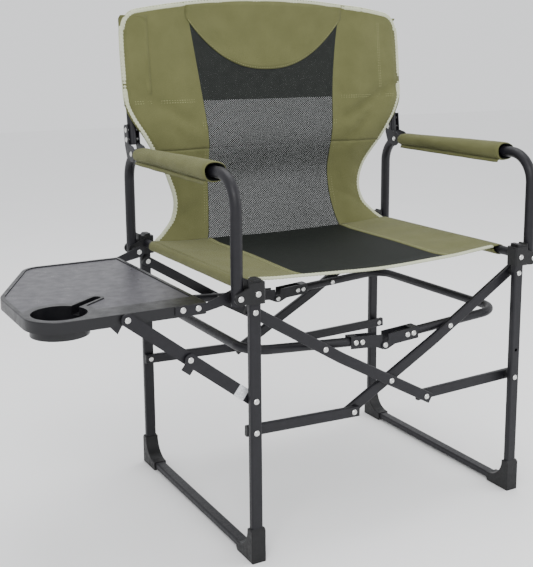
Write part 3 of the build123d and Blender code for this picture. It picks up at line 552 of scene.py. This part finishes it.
def back_y(x, z):
    """The cloth's front face: in front of the uprights above, nearly upright near the seat."""
    upper = upright_y(z) - (UPRIGHT_R + 0.0022)
    lower = 0.1812 + (z - BACK_FOOT) * 0.031
    lower += BOW * sin(pi * min(1.0, max(0.0, (z - BACK_FOOT) / (BOW_TOP - BACK_FOOT))))
    blend = smooth((z - 0.56) / 0.14)
    wide = max(half_width(min(z, BACK_CORNER_Z)), 0.05)
    s = min(1.0, abs(x) / wide)
    y = lower * (1 - blend) + upper * blend + curve_through(BULGE, z) * (1 - s * s)
    strength = 2.0 if x > 0 else 0.9
    reach = smooth((abs(x) - mesh_half(z)) / 0.05) * (1 - s**6)
    for fold_z, tilt, size in FOLDS:
        off = z - fold_z - tilt * (abs(x) - 0.21)
        y += size * strength * cos(min(pi, abs(off) * 190)) * reach
    return y + 0.0016 * noise.noise(Vector((x * 11, z * 9, 2.1))) * (1 - s**4)


def back_top(x):
    """Height of the upper edge: a shallow arch with rounded corners."""
    wide = half_width(BACK_CORNER_Z)
    inside = wide - CORNER
    over = abs(x) - inside
    drop = CORNER - sqrt(max(0.0, CORNER**2 - over**2)) if over > 0 else 0.0
    return BACK_CORNER_Z + ARCH * (1 - (x / wide) ** 2) - drop


SPLIT_STEPS = 9  # columns from the binding to the mesh on each side
MESH_STEPS = 20


def back_columns():
    """Column places: 0 to 1 crosses the left side cloth, 1 to 2 the mesh, 2 to 3 the right cloth."""
    left = spread(0, 1, SPLIT_STEPS + 1)
    mesh = spread(1, 2, MESH_STEPS + 1)[1:]
    return left + mesh + spread(2, 3, SPLIT_STEPS + 1)[1:]


def column_x(c, z):
    outer, inner = half_width(z), mesh_half(z)
    if c <= 1:
        return -outer + (outer - inner) * c
    if c <= 2:
        return inner * (2 * c - 3)
    return inner + (outer - inner) * (c - 2)


def back_rows(low, high_at, count):
    """Rows of cloth from a low level to each column's top height and the height its width is read at."""
    rows = []
    for t in spread(0, 1, count):
        row = []
        for c in back_columns():
            top_z, width_z = high_at(c)
            x = column_x(c, low + (width_z - low) * t)
            z = low + (top_z - low) * t
            row.append(Vector((x, back_y(x, z), z)))
        rows.append(row)
    return rows


def mesh_or_olive(i, _):
    return 1 if SPLIT_STEPS <= i < SPLIT_STEPS + MESH_STEPS else 0


def upper_top(c):
    return back_top(column_x(c, BACK_CORNER_Z)), BACK_CORNER_Z


upper_rows = back_rows(HINGE.z, upper_top, 48)
upper = grid("upper_back_cloth", upper_rows, [OLIVE, MESH_OPEN], mesh_or_olive, side=-1)
settle(upper, "back_left", "upper_back_sling")

lower_rows = back_rows(BACK_FOOT, lambda c: (HINGE.z, HINGE.z), 34)
lower = grid("lower_back_cloth", lower_rows, [OLIVE, MESH_OPEN], mesh_or_olive, side=-1)
settle(lower, "left_side", "lower_back_sling")

# a dark lining behind the mesh, above the cross seam, makes it look closed there
SEAM_Z = 0.722


def lining_rows():
    rows = []
    for t in spread(0, 1, 18):
        row = []
        for s in spread(-1, 1, 25):
            z_named = SEAM_Z + (BACK_CORNER_Z - SEAM_Z) * t
            x = s * (mesh_half(z_named) + 0.012)
            z = SEAM_Z + (back_top(x) - 0.006 - SEAM_Z) * t
            deep = 0.0030 + 0.003 * (1 - s * s) * sin(pi * t)
            row.append(Vector((x, back_y(x, z) + deep, z)))
        rows.append(row)
    return rows


lining_points = lining_rows()
lining = grid("back_lining", lining_points, [LINING], side=-1)
settle(lining, "back_left")


def patch_edge(x):
    """Lower edge of the half-moon head panel."""
    return 0.780 + 0.100 * min(1.0, abs(x) / PATCH) ** 2.3


def patch_rows():
    rows = []
    for t in spread(0, 1, 16):
        row = []
        for s in spread(-1, 1, 41):
            x = PATCH * s
            low = min(patch_edge(x), back_top(x) - 0.008)
            z = low + (back_top(x) - 0.0055 - low) * t
            ripple = 0.0009 * sin(x * 75) * t
            row.append(Vector((x, back_y(x, z) - 0.0013 - ripple - 0.0006 * sin(pi * t), z)))
        rows.append(row)
    return rows


patch_points = patch_rows()
patch = grid("head_panel", patch_points, [OLIVE], side=-1)
settle(patch, "back_left")


def edge_x(z):
    """Half width of the cloth at a height, with the rounded corner."""
    x = half_width(min(z, BACK_CORNER_Z)) - 0.002
    while back_top(x) < z + 0.005:
        x -= 0.0005
    return x


def sleeve_rows(side):
    """The cloth that runs behind an upright from the stitch line to the outer edge."""
    rows = []
    low, high = SEAM_Z - 0.006, BACK_CORNER_Z - 0.006
    for t in spread(0, 1, 30):
        z = low + (high - low) * t
        close = sqrt(max(0.0, 1 - max(0.0, (z - (high - 0.010)) / 0.010) ** 2))
        slack = 1 + 0.06 * sin(z * 130 + side)
        axis_y = upright_y(z)
        outer = edge_x(z)
        reach = (UPRIGHT_R + 0.0022) * slack
        outline = [(0.258, back_y(0.258, z) + 0.0016), (0.268, back_y(0.268, z) + 0.004)]
        outline.append((0.282, axis_y + reach * 0.55))
        for k in range(9):
            turn = radians(110 - 20 * k)
            outline.append((ARM_X + cos(turn) * reach, axis_y + sin(turn) * reach))
        outline.append((outer - 0.003, back_y(outer, z) + 0.0026))
        row = []
        for x, y in outline:
            front = back_y(min(x, outer), z) + 0.0016
            row.append(Vector((side * x, front + max(0.0, y - front) * close, z)))
        rows.append(row)
    return rows


for side, name in ((-1, "left"), (1, "right")):
    rows = sleeve_rows(side)
    sleeve = grid("back_sleeve_" + name, rows, [OLIVE], side=side)
    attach(sleeve, "back_" + name)


def out_of_back(_):
    return Vector((0, -1, 0.06)).normalized()


def back_path(places):
    """Points on the back's front face, from (x, z) places."""
    return [Vector((x, back_y(x, z), z)) for x, z in places]


def edge_places(side, low, high, count, inset):
    return [(side * (half_width(z) - inset), z) for z in spread(low, high, count)]


BIND = 0.0034  # the binding's middle, in from the cloth's edge
BIND_WIDE, BIND_DEEP, BIND_RIB = 0.0052, 0.0025, 0.18
top_xs = spread(-1, 1, 61)
corner_wide = half_width(BACK_CORNER_Z) - BIND
top_places = [(corner_wide * sin(pi / 2 * t), 0) for t in top_xs]
top_places = [(x, back_top(x * half_width(BACK_CORNER_Z) / corner_wide) - BIND) for x, _ in top_places]
upper_edge = edge_places(-1, HINGE.z, BACK_CORNER_Z - CORNER, 44, BIND) + top_places
upper_edge += list(reversed(edge_places(1, HINGE.z, BACK_CORNER_Z - CORNER, 44, BIND)))


def bind_edge(name, places, body):
    """The ribbed tape sewn over the cloth's edge."""
    line = [Vector((p.x, p.y + CLOTH / 2, p.z)) for p in resample(back_path(places), 0.002)]
    outward = [out_of_back(0)] * len(line)
    settle(sweep(name, line, outward, BIND_WIDE, BIND_DEEP, BINDING, BIND_RIB), body)


bind_edge("upper_binding", upper_edge, "back_left")
for side, name in ((-1, "left"), (1, "right")):
    places = edge_places(side, BACK_FOOT + 0.001, HINGE.z, 50, BIND)
    bind_edge("lower_binding_" + name, places, "left_side")


def back_seam(places, lift=0.0004):
    return (back_path(places), out_of_back, lift)


upper_seams, lower_seams = [], []
for side in (-1, 1):
    for shift in (0.003, 0.0075):
        zs = spread(HINGE.z, BACK_CORNER_Z + 0.004, 120)
        places = [(side * (mesh_half(min(z, BACK_CORNER_Z)) + shift), z) for z in zs]
        upper_seams.append(back_seam(places))
        zs = spread(BACK_FOOT + 0.01, HINGE.z - 0.004, 90)
        places = [(side * (mesh_half(z) + shift), z) for z in zs]
        lower_seams.append(back_seam(places))
    for x in (0.2585, 0.2625):
        zs = spread(0.740, 0.872, 60)
        upper_seams.append(back_seam([(side * x, z) for z in zs]))
    for z in (SEAM_Z - 0.002, SEAM_Z + 0.0022):
        xs = spread(mesh_half(z) + 0.012, half_width(z) - 0.016, 60)
        upper_seams.append(back_seam([(side * x, z) for x in xs]))
xs = spread(-0.170, 0.170, 160)
upper_seams.append(back_seam([(x, patch_edge(x) + 0.003) for x in xs], 0.0020))
upper_thread = stitches("upper_back_stitches", upper_seams, THREAD)
settle(upper_thread, "back_left")
lower_thread = stitches("lower_back_stitches", lower_seams, THREAD)
settle(lower_thread, "left_side")
for side, name in ((-1, "left"), (1, "right")):
    upper_zs = spread(HINGE.z, BACK_CORNER_Z + 0.002, 80)
    lower_zs = spread(BACK_FOOT + 0.006, HINGE.z - 0.002, 60)
    for level, body, zs in (("upper", "back_left", upper_zs), ("lower", "left_side", lower_zs)):
        line = back_path([(side * (mesh_half(min(z, BACK_CORNER_Z)) + 0.0006), z) for z in zs])
        outward = [out_of_back(0)] * len(line)
        welt = sweep(f"{level}_seam_{name}", line, outward, 0.0030, 0.0014, OLIVE)
        settle(welt, body)


# ------------------------------------------------------------------ arm pads
ROUND = 40  # points in a section of the arm sleeve


def pad_section(y, grow=0.0):
    """One closed line round the arm: flat-bottomed at the front, rounder at the back."""
    t = (y - pad_low.y) / (pad_high.y - pad_low.y)
    wide = 0.0205 - 0.0015 * t + grow
    tall = 0.0168 - 0.0042 * t + grow
    ends = min(smooth((y - pad_low.y) / 0.006), smooth((pad_high.y - y) / 0.010))
    pull = 0.90 + 0.10 * ends
    points = []
    for k in range(ROUND):
        turn = 2 * pi * k / ROUND
        c, s = cos(turn), sin(turn)
        x = wide * pull * abs(c) ** 0.82 * (1 if c > 0 else -1)
        z = tall * pull * abs(s) ** 0.86 * (1 if s > 0 else -1)
        crease = 0.0005 * noise.noise(Vector((s * 2.2, y * 60 + c * 3, 3.0))) * ends
        wobble = 0.0012 * noise.noise(Vector((c * 1.2, y * 22, s + 7.0)))
        size = 1 + (crease + wobble) / 0.018
        points.append(Vector((x * size, y, ARM_Z + z * size)))
    return points


def tube_ring(y, clearance):
    """A ring of the sleeve's inside, close round the arm's tube."""
    radius = ARM_R + clearance
    turns = [2 * pi * k / ROUND for k in range(ROUND)]
    return [Vector((cos(turn) * radius, y, ARM_Z + sin(turn) * radius)) for turn in turns]


def arm_pad(side, name, body, node):
    """Padded sleeve with a turned-in front end that is dark inside."""
    ys = [pad_low.y, pad_low.y + 0.002, pad_low.y + 0.005]
    ys += spread(pad_low.y + 0.010, pad_high.y - 0.012, 44)
    ys += [pad_high.y - 0.007, pad_high.y - 0.003, pad_high.y]
    rings = [pad_section(y) for y in ys]
    inner = 0.0024
    front_in = []
    for y, grow in ((pad_low.y + 0.0006, -inner), (pad_low.y + 0.018, -inner - 0.0004)):
        front_in.append([Vector((p.x, y, p.z)) for p in pad_section(pad_low.y + 0.012, grow)])
    tube = tube_ring(pad_low.y + 0.019, 0.0004)
    rings = [tube, *reversed(front_in), *rings, tube_ring(pad_high.y, 0.0006)]
    rings = [[Vector((p.x + side * ARM_X, p.y, p.z)) for p in ring] for ring in rings]
    points, faces, uvs, face_paint = [], [], [], []
    for ring in rings:
        points += ring
        uvs += [(0.0026 * k, ring[0].y) for k in range(ROUND)]
    for r in range(len(rings)):
        a, b = r * ROUND, (r + 1) % len(rings) * ROUND
        for k in range(ROUND):
            n = (k + 1) % ROUND
            faces.append((a + k, a + n, b + n, b + k))
            face_paint.append(1 if r < 2 or b == 0 else 0)
    pad = new_mesh("pad_sleeve_" + name, points, faces, [OLIVE, LINING], face_paint, uvs)
    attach(pad, body)
    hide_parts(node)


def pad_strip(side, name, body):
    """The closing strip: the sleeve's two edges meet in a lip under the arm, towards the table."""
    rows = []
    for y in spread(pad_low.y + 0.004, pad_high.y - 0.010, 60):
        t = (y - pad_low.y) / (pad_high.y - pad_low.y)
        x = side * ARM_X - 0.0135
        z = ARM_Z - (0.0160 - 0.0042 * t)
        wave = 0.0008 * sin(y * 95)
        ends = smooth((y - pad_low.y - 0.004) / 0.015)
        rows.append(
            [
                Vector((x + 0.0030, y, z + 0.0010)),
                Vector((x - 0.0010 + wave, y, z - 0.0012)),
                Vector((x - 0.0020 + wave, y, z - 0.0040 - 0.0010 * ends)),
            ]
        )
    strip = grid("pad_strip_" + name, rows, [OLIVE], thick=0.0016)
    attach(strip, body)


for side, name in ((-1, "left"), (1, "right")):
    arm_pad(side, name, name + "_side", "arm_pad_" + name)
    pad_strip(side, name, name + "_side")


# ------------------------------------------------------------------ stage, light and camera
def floor_paint():
    p = Paint("stage_floor", (0.93, 0.93, 0.93), 0.85)
    p.color(p.mix(p.noise(3, 2), (0.92, 0.92, 0.92), (0.95, 0.95, 0.95)))
    return p.mat


FLOOR = 9.0
floor_corners = [(-FLOOR, -FLOOR, 0), (FLOOR, -FLOOR, 0), (FLOOR, FLOOR, 0), (-FLOOR, FLOOR, 0)]
floor = new_mesh("floor", floor_corners, [(0, 1, 2, 3)], [floor_paint()], shade=False)

world = bpy.data.worlds.new("studio")
bpy.context.scene.world = world
world.use_nodes = True
world.node_tree.nodes["Background"].inputs["Color"].default_value = (0.93, 0.94, 0.96, 1)
world.node_tree.nodes["Background"].inputs["Strength"].default_value = 1.25


def area_light(name, place, aim, size, power):
    data = bpy.data.lights.new(name, "AREA")
    data.shape = "RECTANGLE"
    data.size = size
    data.size_y = size
    data.energy = power
    lamp = bpy.data.objects.new(name, data)
    bpy.context.scene.collection.objects.link(lamp)
    lamp.location = place
    lamp.rotation_euler = (Vector(aim) - Vector(place)).to_track_quat("-Z", "Y").to_euler()


area_light("key", (-1.6, -2.2, 2.4), (0, 0, 0.5), 1.6, 60)
area_light("fill", (2.4, -1.6, 1.5), (0, 0, 0.5), 1.8, 26)
area_light("top", (0.2, 0.4, 2.8), (0, 0, 0.4), 1.8, 34)

LENS = 61.47
AZIMUTH, ELEVATION, ROLL = radians(-28.82), radians(10.58), radians(-0.427)
LOCATION = Vector((-0.9507, -1.5072, 0.8093))
back = Vector((sin(AZIMUTH) * cos(ELEVATION), -cos(AZIMUTH) * cos(ELEVATION), sin(ELEVATION)))
right = Vector((0, 0, 1)).cross(back).normalized()
top = back.cross(right)
right, top = right * cos(ROLL) + top * sin(ROLL), top * cos(ROLL) - right * sin(ROLL)
camera_data = bpy.data.cameras.new("camera")
camera_data.lens = LENS
camera_data.sensor_width = 36
camera_data.shift_x = -0.0017
camera_data.shift_y = -0.0855
camera_data.clip_start = 0.05
camera = bpy.data.objects.new("camera", camera_data)
bpy.context.scene.collection.objects.link(camera)
turn = Matrix((right, top, back)).transposed().to_4x4()
camera.matrix_world = Matrix.Translation(LOCATION) @ turn
bpy.context.scene.camera = camera
